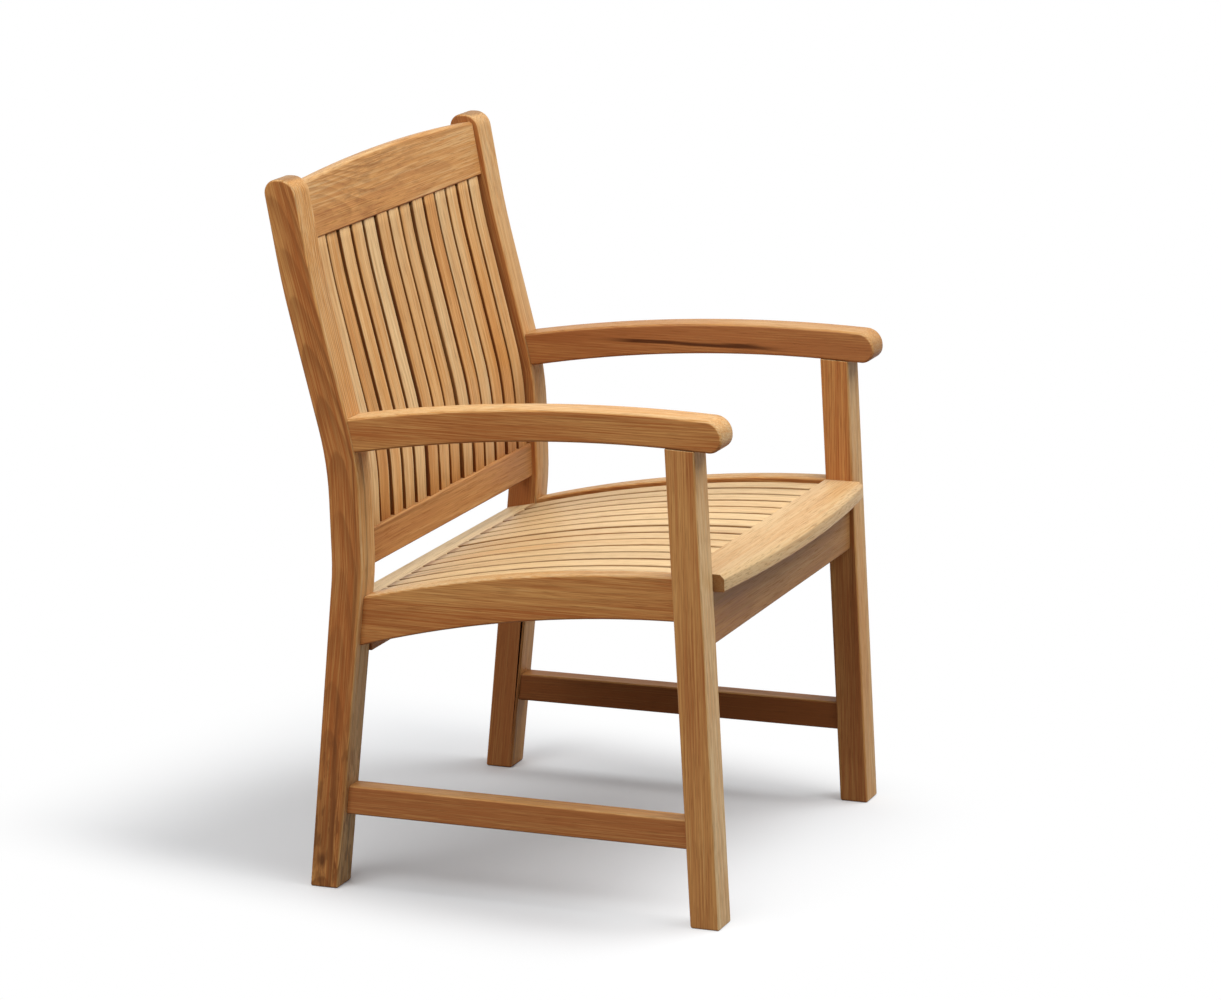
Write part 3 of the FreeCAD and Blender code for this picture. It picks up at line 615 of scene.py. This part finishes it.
def board_material(name, teak):
    """The teak of one solid piece, in the grain space of the board it is cut from."""
    board = {**PLAIN_BOARD, **BOARDS[name]}
    material, grain, finish = teak_nodes(name, teak, board)
    tree = material.node_tree
    spot = place(tree, "ShaderNodeTexCoord", "Spot").outputs["Object"]
    if board["bent"]:
        spot = straightened(tree, spot)
    low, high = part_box(name)
    turned = place(tree, "ShaderNodeMapping", "Board", vector_type="TEXTURE")
    turned.inputs["Location"].default_value = (low + high) / 2
    turned.inputs["Rotation"].default_value = GRAIN_TURNS[board["grain"]]
    tree.links.new(spot, turned.inputs["Vector"])
    tree.links.new(turned.outputs["Vector"], grain.inputs["Spot"])
    # End grain is darker for real; the board's painted_shade value paints shade on its long faces.
    facing = place(tree, "ShaderNodeNewGeometry", "Facing")
    end = calculate_vector(tree, "MULTIPLY", facing.outputs["Normal"], GRAIN_AXES[board["grain"]])
    end = calculate_vector(tree, "LENGTH", end)
    painted_shade_and_end_grain = ramped(tree, end, *RAMPS["end_grain"], board["painted_shade"], board["end"])
    tree.links.new(painted_shade_and_end_grain, finish.inputs["Shaded"])
    return material


def carried(tree, name, output):
    """What the slats' mesh carries under this name."""
    return place(tree, "ShaderNodeAttribute", name, attribute_name=name).outputs[output]


def slat_material(name, teak):
    """The teak of a row of slats, which carry their own grain, tone and seed."""
    board = {**PLAIN_BOARD, **SLAT_BOARDS[name]}
    material, grain, finish = teak_nodes(name, teak, board)
    tree = material.node_tree
    spot = carried(tree, "grain", "Vector")
    seed = carried(tree, "slat_seed", "Fac")
    tree.links.new(spot, grain.inputs["Spot"])
    tree.links.new(seed, grain.inputs["Seed"])
    tree.links.new(carried(tree, "slat_tone", "Fac"), finish.inputs["Tone"])
    tree.links.new(carried(tree, "slat_dull", "Fac"), finish.inputs["Dull"])
    swing = times(tree, calculate(tree, "SINE", seed), HEART_SWING)
    tree.links.new(joined_vector(tree, swing, board["pith"][1], 0.0), grain.inputs["Pith"])
    # The slats' sides, deepest inside each gap, get painted shade.
    across, through = parts_of(tree, spot)[:2]
    edge = ramped(tree, calculate(tree, "ABSOLUTE", across), *RAMPS["slat_gap_shade_edge"])
    depth = ramped(tree, calculate(tree, "ABSOLUTE", through), *RAMPS["slat_gap_shade_depth"])
    tree.links.new(times(tree, edge, depth), finish.inputs["Shaded"])
    return material


def dress_solids(names, teak):
    """Round the sanded arrises of the named solids and give each the teak of its own board."""
    for name in names:
        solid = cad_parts[name]
        weld = solid.modifiers.new("Weld seams", "WELD")
        weld.merge_threshold = 0.02 * MILLIMETRE
        flats = solid.modifiers.new("Clear flats", "DECIMATE")
        flats.decimate_type = "DISSOLVE"
        flats.angle_limit = math.radians(0.6)
        arris = solid.modifiers.new("Sanded arrises", "BEVEL")
        arris.width = teak.arris_radius
        arris.segments = 3
        arris.limit_method = "ANGLE"
        arris.angle_limit = math.radians(30)
        arris.use_clamp_overlap = False
        arris.harden_normals = True
        solid.material_slots[0].material = board_material(name, teak)


def eased(tree, curve, radius, steps):
    """A curve with its corners rounded."""
    made = place(tree, "GeometryNodeFilletCurve", "Eased", mode="POLY")
    tree.links.new(curve, made.inputs["Curve"])
    tree.links.new(radius, made.inputs["Radius"])
    made.inputs["Count"].default_value = steps
    return made.outputs["Curve"]


def row_tree(name, points, radii, make_path):
    """A tree that bends one slat along a path and repeats it side by side."""
    tree, given, result = new_tree(
        name, "GeometryNodeTree",
        {"NodeSocketVector": (*points, "In And Out"),
         "NodeSocketFloat": (*radii, "Pitch", "Width", "Thickness", "Edge Radius", "Sideways",
                             "Width Share", "Darkest", "Palest"),
         "NodeSocketInt": ("Count", "Seed"),
         "NodeSocketMaterial": ("Material",)},
        {"NodeSocketGeometry": ("Geometry",)})

    # One slat: a rounded section along the path, which remembers its place along and across.
    distance = place(tree, "GeometryNodeSplineParameter", "Distance along")
    path = store(tree, make_path(tree, given), "slat_along", "FLOAT", "POINT",
                 distance.outputs["Length"])
    section = place(tree, "GeometryNodeCurvePrimitiveQuadrilateral", "Section")
    tree.links.new(given["Width"], section.inputs["Width"])
    tree.links.new(given["Thickness"], section.inputs["Height"])
    rounded = eased(tree, section.outputs["Curve"], given["Edge Radius"], EDGE_STEPS)
    spot = place(tree, "GeometryNodeInputPosition", "Spot")
    rounded = store(tree, rounded, "slat_across", "FLOAT_VECTOR", "POINT", spot.outputs["Position"])
    slat = place(tree, "GeometryNodeCurveToMesh", "Slat")
    tree.links.new(path, slat.inputs["Curve"])
    tree.links.new(rounded, slat.inputs["Profile Curve"])
    slat.inputs["Fill Caps"].default_value = True
    across, through = parts_of(tree, recall(tree, "slat_across", "FLOAT_VECTOR"))[:2]
    grain = joined_vector(tree, across, through, recall(tree, "slat_along", "FLOAT"))
    slat = store(tree, slat.outputs["Mesh"], "grain", "FLOAT_VECTOR", "POINT", grain)

    # The slats' places, each a little out of true.
    run = times(tree, given["Pitch"], less(tree, given["Count"], 1.0))
    places = place(tree, "GeometryNodeMeshLine", "Places")
    tree.links.new(given["Count"], places.inputs["Count"])
    first = times(tree, run, -0.5)
    feed(tree, places.inputs["Start Location"], joined_vector(tree, first, 0.0, 0.0))
    feed(tree, places.inputs["Offset"], joined_vector(tree, given["Pitch"], 0.0, 0.0))
    sideways = times(tree, given["Sideways"], chance(tree, -1.0, 1.0, given["Seed"], SIDEWAYS_DRAW))
    in_and_out = place(tree, "ShaderNodeVectorMath", "In and out", operation="SCALE")
    tree.links.new(given["In And Out"], in_and_out.inputs[0])
    tree.links.new(chance(tree, -1.0, 1.0, given["Seed"], IN_AND_OUT_DRAW),
                   in_and_out.inputs["Scale"])
    nudge = calculate_vector(tree, "ADD", joined_vector(tree, sideways, 0.0, 0.0),
                             in_and_out.outputs[0])
    settled = place(tree, "GeometryNodeSetPosition", "Hand set")
    tree.links.new(places.outputs["Mesh"], settled.inputs["Geometry"])
    tree.links.new(nudge, settled.inputs["Offset"])

    # The row, each slat with its own width, tone, dullness and seed.
    row = place(tree, "GeometryNodeInstanceOnPoints", "Row")
    tree.links.new(settled.outputs["Geometry"], row.inputs["Points"])
    tree.links.new(slat, row.inputs["Instance"])
    narrowest = less(tree, 1.0, given["Width Share"])
    width = chance(tree, narrowest, 1.0, given["Seed"], WIDTH_DRAW)
    feed(tree, row.inputs["Scale"], joined_vector(tree, width, 1.0, 1.0))
    slats = row.outputs["Instances"]
    for attribute, least, most, draw in (
            ("slat_tone", given["Darkest"], given["Palest"], TONE_DRAW),
            ("slat_dull", 0.0, MOST_DULL, DULL_DRAW),
            ("slat_seed", 0.0, GRAIN_RUN, GRAIN_DRAW)):
        slats = store(tree, slats, attribute, "FLOAT", "INSTANCE",
                      chance(tree, least, most, given["Seed"], draw))
    real = place(tree, "GeometryNodeRealizeInstances", "One mesh")
    tree.links.new(slats, real.inputs["Geometry"])
    coated = place(tree, "GeometryNodeSetMaterial", "Teak")
    tree.links.new(real.outputs["Geometry"], coated.inputs["Geometry"])
    tree.links.new(given["Material"], coated.inputs["Material"])
    tree.links.new(coated.outputs["Geometry"], result["Geometry"])
    return tree


def store(tree, geometry, name, kind, domain, value):
    made = place(tree, "GeometryNodeStoreNamedAttribute", "Keep " + name, data_type=kind,
                 domain=domain)
    made.inputs["Name"].default_value = name
    tree.links.new(geometry, made.inputs["Geometry"])
    tree.links.new(value, made.inputs["Value"])
    return made.outputs["Geometry"]


def recall(tree, name, kind):
    made = place(tree, "GeometryNodeInputNamedAttribute", "Recall " + name, data_type=kind)
    made.inputs["Name"].default_value = name
    return made.outputs["Attribute"]


def chance(tree, low, high, seed, draw):
    made = place(tree, "FunctionNodeRandomValue", "Chance", data_type="FLOAT")
    feed(tree, made.inputs[2], low)
    feed(tree, made.inputs[3], high)
    tree.links.new(plus(tree, seed, draw), made.inputs["Seed"])
    return made.outputs[1]


def arched_path(tree, given):
    """The seat's curve, through three points."""
    arc = place(tree, "GeometryNodeCurveArc", "Seat curve", mode="POINTS")
    arc.inputs["Resolution"].default_value = SEAT_STEPS
    for title, end in (("Front", "Start"), ("Middle", "Middle"), ("Rear", "End")):
        tree.links.new(given[title], arc.inputs[end])
    return arc.outputs["Curve"]


def bent_path(tree, given):
    """The back's line, from its foot through two eased bends to its top."""
    line = place(tree, "GeometryNodeCurvePrimitiveLine", "Foot to top")
    tree.links.new(given["Foot"], line.inputs["Start"])
    tree.links.new(given["Top"], line.inputs["End"])
    pointed = place(tree, "GeometryNodeResampleCurve", "Four points")
    tree.links.new(line.outputs["Curve"], pointed.inputs["Curve"])
    pointed.inputs["Count"].default_value = 4
    number = place(tree, "GeometryNodeInputIndex", "Number").outputs["Index"]
    curve = pointed.outputs["Curve"]
    for index, title in ((1, "Waist Bend"), (2, "Crest Bend")):
        bend = place(tree, "GeometryNodeSetPosition", title)
        tree.links.new(curve, bend.inputs["Geometry"])
        tree.links.new(calculate(tree, "COMPARE", number, index), bend.inputs["Selection"])
        tree.links.new(given[title], bend.inputs["Position"])
        curve = bend.outputs["Geometry"]
    wider = times(tree, calculate(tree, "COMPARE", number, 2.0),
                  less(tree, given["Crest Radius"], given["Waist Radius"]))
    return eased(tree, curve, plus(tree, wider, given["Waist Radius"]), BEND_STEPS)


def bake_row(name, solid, tree, slats, values):
    """Run a row's tree, keep its slats as one plain mesh and let it stand for its solids."""
    for title in ("Count", "Edge Radius", "Sideways", "Width Share"):
        values[title] = getattr(slats, named(title))
    mesh = bpy.data.meshes.new(name + "_seedling")
    maker = bpy.data.objects.new(name + "_maker", mesh)
    bpy.context.scene.collection.objects.link(maker)
    growth = maker.modifiers.new("Row", "NODES")
    growth.node_group = tree
    for item in tree.interface.items_tree:
        if item.in_out == "INPUT":
            growth[item.identifier] = values[item.name]
    bpy.context.view_layer.update()
    graph = bpy.context.evaluated_depsgraph_get()
    baked = bpy.data.meshes.new_from_object(maker.evaluated_get(graph))
    baked.name = name
    maker.modifiers.remove(growth)
    bpy.data.objects.remove(maker)
    bpy.data.meshes.remove(mesh)
    for leftover in ("slat_along", "slat_across"):
        baked.attributes.remove(baked.attributes[leftover])
    baked.shade_smooth()
    row = bpy.data.objects.new(name, baked)
    bpy.context.scene.collection.objects.link(row)
    even = row.modifiers.new("Even shading", "WEIGHTED_NORMAL")
    even.weight = 100
    nodes = row_names(solid, slats.count)
    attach(row, "root")
    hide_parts(*nodes)


def squarely_behind(lean):
    """The direction straight back from a face that leans this far."""
    return Vector((0, math.cos(lean), -math.sin(lean)))


def row_names(stem, count):
    return ["%s_%02d" % (stem, number + 1) for number in range(count)]


class ARMCHAIR_OT_posts_and_legs(bpy.types.Operator):
    """Dress the two bent rear posts and the two front legs"""
    bl_idname = "armchair.posts_and_legs"
    bl_label = "Posts and legs"

    def execute(self, context):
        dress_solids(("rear_leg_left", "rear_leg_right", "front_leg_left", "front_leg_right"),
                     context.scene.armchair_teak)
        return {"FINISHED"}


class ARMCHAIR_OT_armrests(bpy.types.Operator):
    """Dress the two arched armrests"""
    bl_idname = "armchair.armrests"
    bl_label = "Armrests"

    def execute(self, context):
        dress_solids(("armrest_left", "armrest_right"), context.scene.armchair_teak)
        return {"FINISHED"}


class ARMCHAIR_OT_side_rails(bpy.types.Operator):
    """Dress the arched side rails and the straight stretchers"""
    bl_idname = "armchair.side_rails"
    bl_label = "Side rails and stretchers"

    def execute(self, context):
        dress_solids(("side_rail_left", "side_rail_right",
                      "side_stretcher_left", "side_stretcher_right"),
                     context.scene.armchair_teak)
        return {"FINISHED"}


class ARMCHAIR_OT_seat_boards(bpy.types.Operator):
    """Dress the seat's front and rear boards, their aprons and the bearer"""
    bl_idname = "armchair.seat_boards"
    bl_label = "Seat boards"

    def execute(self, context):
        dress_solids(("seat_front_board", "front_apron", "seat_rear_board", "rear_apron",
                      "seat_bearer"), context.scene.armchair_teak)
        return {"FINISHED"}


class ARMCHAIR_OT_back_rails(bpy.types.Operator):
    """Dress the crowned crest rail and the lower back rail"""
    bl_idname = "armchair.back_rails"
    bl_label = "Back rails"

    def execute(self, context):
        dress_solids(("crest_rail", "lower_back_rail"), context.scene.armchair_teak)
        return {"FINISHED"}


class ARMCHAIR_OT_seat_slats(bpy.types.Operator):
    """Make the seat's arched slats from its front board to its rear board"""
    bl_idname = "armchair.seat_slats"
    bl_label = "Seat slats"

    def execute(self, context):
        slats = context.scene.armchair_slats
        fall = SEAT_REAR - SEAT_CREST
        radius = (fall.y ** 2 + fall.z ** 2) / (-2 * fall.z)
        values = dict(SEAT_SLAT, Seed=slats.seed,
                      Material=slat_material("seat_slats", context.scene.armchair_teak))
        values["In And Out"] = (0.0, 0.0, slats.in_and_out * SEAT_UNEVENNESS)
        for title, y in SEAT_SLAT_LINE.items():
            top = SEAT_CREST.z - radius + math.sqrt(radius ** 2 - (y - SEAT_CREST.y) ** 2)
            values[title] = (0.0, y, top - values["Thickness"] / 2)
        tree = row_tree("Seat slat row", SEAT_SLAT_LINE, (), arched_path)
        bake_row("seat_slats", "seat_slat", tree, slats, values)
        return {"FINISHED"}


class ARMCHAIR_OT_back_slats(bpy.types.Operator):
    """Make the back's bent slats from its lower rail to its crest rail"""
    bl_idname = "armchair.back_slats"
    bl_label = "Back slats"

    def execute(self, context):
        slats = context.scene.armchair_slats
        setback = SLAT_BEHIND_FACE + BACK_SLAT["Thickness"] / 2
        waist = POST_WAIST + squarely_behind(BACK_LEAN / 2) * setback / math.cos(BACK_LEAN / 2)
        crest = POST_CREST + squarely_behind((BACK_LEAN + CREST_LEAN) / 2) * setback
        upward = Vector((0, math.sin(CREST_LEAN), math.cos(CREST_LEAN)))
        points = {"Foot": (0.0, waist.y, SLAT_FOOT), "Waist Bend": waist, "Crest Bend": crest,
                  "Top": crest + upward * SLAT_ABOVE_BEND}
        radii = {"Waist Radius": POST_WAIST_RADIUS - setback,
                 "Crest Radius": POST_CREST_RADIUS + setback}
        values = dict(BACK_SLAT, Seed=slats.seed + BACK_SEED,
                      Material=slat_material("back_slats", context.scene.armchair_teak))
        values["In And Out"] = (0.0, slats.in_and_out, 0.0)
        tree = row_tree("Back slat row", points, radii, bent_path)
        bake_row("back_slats", "back_slat", tree, slats, {**values, **points, **radii})
        return {"FINISHED"}


def make_floor(stage):
    """A round floor, pale and matt under the chair and plain white to the camera farther off."""
    mesh = bpy.data.meshes.new("studio_floor")
    rim = []
    for step in range(FLOOR_STEPS):
        turn = math.tau * step / FLOOR_STEPS
        rim.append((stage.floor_radius * math.cos(turn), stage.floor_radius * math.sin(turn), 0.0))
    mesh.from_pydata(rim, [], [tuple(range(FLOOR_STEPS))])
    floor = bpy.data.objects.new("studio_floor", mesh)
    bpy.context.scene.collection.objects.link(floor)
    material = bpy.data.materials.new("studio_floor")
    material.use_nodes = True
    tree = material.node_tree
    tree.nodes.clear()
    matt = place(tree, "ShaderNodeBsdfDiffuse", "Matt")
    colour = blended(tree, seen_directly(tree), FLOOR_GLOW, (*stage.floor_colour, 1.0))
    tree.links.new(colour, matt.inputs["Color"])
    white = place(tree, "ShaderNodeEmission", "White")

    # The grey lies in a soft-edged oblong under and behind the chair.
    spot = place(tree, "ShaderNodeTexCoord", "Spot")
    reach = place(tree, "ShaderNodeMapping", "Reach of the shade", vector_type="TEXTURE")
    reach.inputs["Location"].default_value = SHADE_MIDDLE
    reach.inputs["Rotation"].default_value = SHADE_TURN
    reach.inputs["Scale"].default_value = (stage.shade_across, stage.shade_along, 1.0)
    tree.links.new(spot.outputs["Object"], reach.inputs["Vector"])
    across, along = parts_of(tree, reach.outputs["Vector"], "Across, along")[:2]
    across = ramped(tree, calculate(tree, "ABSOLUTE", across), *RAMPS["shade_across"])
    along = ramped(tree, calculate(tree, "ABSOLUTE", along), *RAMPS["shade_along"])
    far = less(tree, 1.0, times(tree, across, along))
    both = place(tree, "ShaderNodeMixShader", "Both")
    tree.links.new(times(tree, far, seen_directly(tree)), both.inputs[0])
    tree.links.new(matt.outputs[0], both.inputs[1])
    tree.links.new(white.outputs[0], both.inputs[2])
    output = place(tree, "ShaderNodeOutputMaterial", "Out")
    tree.links.new(both.outputs[0], output.inputs["Surface"])
    mesh.materials.append(material)


def seen_directly(tree):
    """1 for a ray from the camera or off a gloss or glass, 0 for the light that fills."""
    ray = place(tree, "ShaderNodeLightPath", "Ray")
    seen = calculate(tree, "MAXIMUM", ray.outputs["Is Camera Ray"], ray.outputs["Is Glossy Ray"])
    return calculate(tree, "MAXIMUM", seen, ray.outputs["Is Transmission Ray"])


def make_world(stage):
    world = bpy.data.worlds.new("studio")
    bpy.context.scene.world = world
    world.use_nodes = True
    tree = world.node_tree
    light = tree.nodes["Background"]
    light.inputs["Color"].default_value = (1.0, 1.0, 1.0, 1.0)
    direction = place(tree, "ShaderNodeTexCoord", "Direction")
    side, _, up = parts_of(tree, direction.outputs["Generated"], "Direction's parts")
    overhead = ramped(tree, up, *RAMPS["overhead"])
    beside = ramped(tree, times(tree, side, -1.0), *RAMPS["beside"])
    fill = plus(tree, times(tree, overhead, stage.fill_strength),
                times(tree, beside, stage.side_fill))
    strength = place(tree, "ShaderNodeMapRange", "White where seen")
    tree.links.new(seen_directly(tree), strength.inputs["Value"])
    tree.links.new(fill, strength.inputs["To Min"])
    strength.inputs["To Max"].default_value = 1.0
    tree.links.new(strength.outputs["Result"], light.inputs["Strength"])


def make_lamp(name, power, size, towards):
    lamp = bpy.data.lights.new(name, "AREA")
    lamp.energy = power
    lamp.size = size
    stand = bpy.data.objects.new(name, lamp)
    bpy.context.scene.collection.objects.link(stand)
    towards = Vector(towards).normalized()
    stand.location = LAMP_AIM + towards * LAMP_DISTANCE
    stand.rotation_euler = towards.to_track_quat("Z", "Y").to_euler()


def make_camera():
    lens = bpy.data.cameras.new("photo_view")
    lens.lens = CAMERA_LENS
    lens.sensor_width = CAMERA_SENSOR
    lens.clip_end = 100.0
    camera = bpy.data.objects.new("photo_view", lens)
    bpy.context.scene.collection.objects.link(camera)
    forward = Vector((-math.sin(CAMERA_HEADING) * math.cos(CAMERA_DIP),
                      math.cos(CAMERA_HEADING) * math.cos(CAMERA_DIP),
                      -math.sin(CAMERA_DIP)))
    level = Vector((math.cos(CAMERA_HEADING), math.sin(CAMERA_HEADING), 0.0))
    upright = level.cross(forward)
    right = math.cos(CAMERA_ROLL) * level + math.sin(CAMERA_ROLL) * upright
    above = math.cos(CAMERA_ROLL) * upright - math.sin(CAMERA_ROLL) * level
    turn = Matrix((right, above, -forward)).transposed()
    camera.matrix_world = Matrix.Translation(CAMERA_PLACE) @ turn.to_4x4()
    bpy.context.scene.camera = camera


class ARMCHAIR_OT_stage(bpy.types.Operator):
    """Set the pale floor, the two soft lamps, the fill and the photograph's camera"""
    bl_idname = "armchair.stage"
    bl_label = "Studio"

    def execute(self, context):
        stage = context.scene.armchair_stage
        make_floor(stage)
        make_world(stage)
        make_lamp("front_lamp", stage.front_power, stage.lamp_size, FRONT_LAMP_TOWARDS)
        make_lamp("side_lamp", stage.side_power, stage.lamp_size, SIDE_LAMP_TOWARDS)
        make_camera()
        context.scene.view_settings.view_transform = "Standard"
        return {"FINISHED"}


class ARMCHAIR_PT_panel(bpy.types.Panel):
    bl_idname = "ARMCHAIR_PT_panel"
    bl_label = "Armchair"
    bl_space_type = "VIEW_3D"
    bl_region_type = "UI"
    bl_category = "Armchair"

    def draw(self, context):
        for group in ("armchair_teak", "armchair_slats", "armchair_stage"):
            settings = getattr(context.scene, group)
            box = self.layout.box()
            for name in settings.bl_rna.properties.keys():
                if name not in ("rna_type", "name"):
                    box.prop(settings, name)
        for operator in OPERATORS:
            self.layout.operator(operator.bl_idname)


OPERATORS = (
    ARMCHAIR_OT_posts_and_legs,
    ARMCHAIR_OT_armrests,
    ARMCHAIR_OT_side_rails,
    ARMCHAIR_OT_seat_boards,
    ARMCHAIR_OT_back_rails,
    ARMCHAIR_OT_seat_slats,
    ARMCHAIR_OT_back_slats,
    ARMCHAIR_OT_stage,
)
SETTINGS = (
    ("armchair_teak", ArmchairTeak),
    ("armchair_slats", ArmchairSlats),
    ("armchair_stage", ArmchairStage),
)


def register():
    for name, group in SETTINGS:
        bpy.utils.register_class(group)
        setattr(bpy.types.Scene, name, bpy.props.PointerProperty(type=group))
    for operator in OPERATORS:
        bpy.utils.register_class(operator)
    bpy.utils.register_class(ARMCHAIR_PT_panel)


def unregister():
    bpy.utils.unregister_class(ARMCHAIR_PT_panel)
    for operator in reversed(OPERATORS):
        bpy.utils.unregister_class(operator)
    for name, group in reversed(SETTINGS):
        delattr(bpy.types.Scene, name)
        bpy.utils.unregister_class(group)


def main():
    register()
    bpy.ops.armchair.posts_and_legs()
    bpy.ops.armchair.armrests()
    bpy.ops.armchair.side_rails()
    bpy.ops.armchair.seat_boards()
    bpy.ops.armchair.back_rails()
    bpy.ops.armchair.seat_slats()
    bpy.ops.armchair.back_slats()
    bpy.ops.armchair.stage()


if __name__ == "__main__":
    main()
